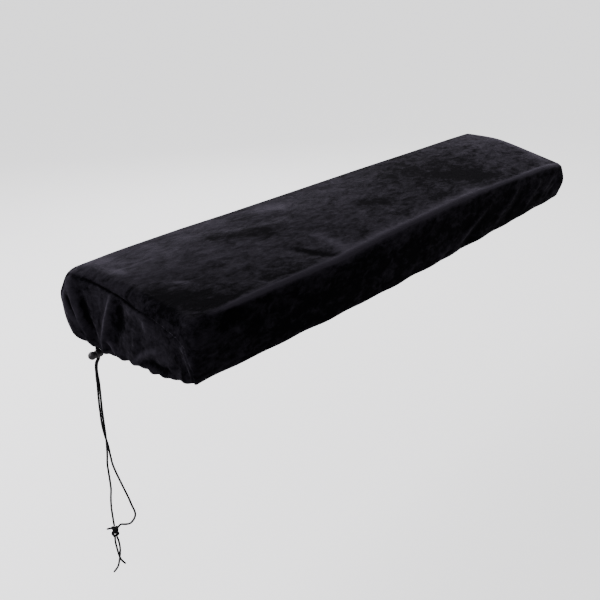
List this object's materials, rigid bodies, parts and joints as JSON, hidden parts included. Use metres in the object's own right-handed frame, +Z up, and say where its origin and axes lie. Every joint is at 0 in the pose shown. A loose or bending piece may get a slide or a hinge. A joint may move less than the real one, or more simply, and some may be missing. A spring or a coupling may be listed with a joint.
{
  "type": "fitted keyboard dust cover",
  "caption": "Fitted velvet dust cover for a full-size keyboard, open below, with a gathered hem and a drawcord whose knotted ends hang from a push lock.",
  "frame": {"origin": "under the middle of the cover's top, at the cloth's underside, where the cover lies on the keyboard inside it", "axes": "+X along the keyboard from the near end, where the drawcord hangs, to the far end; +Y from the low front to the back; +Z up"},
  "size_m": [1.3884, 0.313, 0.6084],
  "materials": {
    "velvet": "matte pile",
    "cord": "braided",
    "lock": "satin moulded"
  },
  "bodies": {
    "cover": {"main_panel": "velvet", "near_panel": "velvet", "far_panel": "velvet", "lock_barrel": "lock", "strand_left": "cord", "strand_right": "cord", "tail_left": "cord", "tail_right": "cord", "knot_tab": "cord", "knot": "cord"},
    "lock_button": {"lock_plunger": "lock"}
  },
  "joints": [
    {"name": "button_press", "type": "slide", "parent": "cover", "child": "lock_button", "axis": [0.9976, -0.0698, 0], "range_m": [0, 0.0018], "stiffness_N_per_m": 400, "springref_m": -0.002}
  ]
}
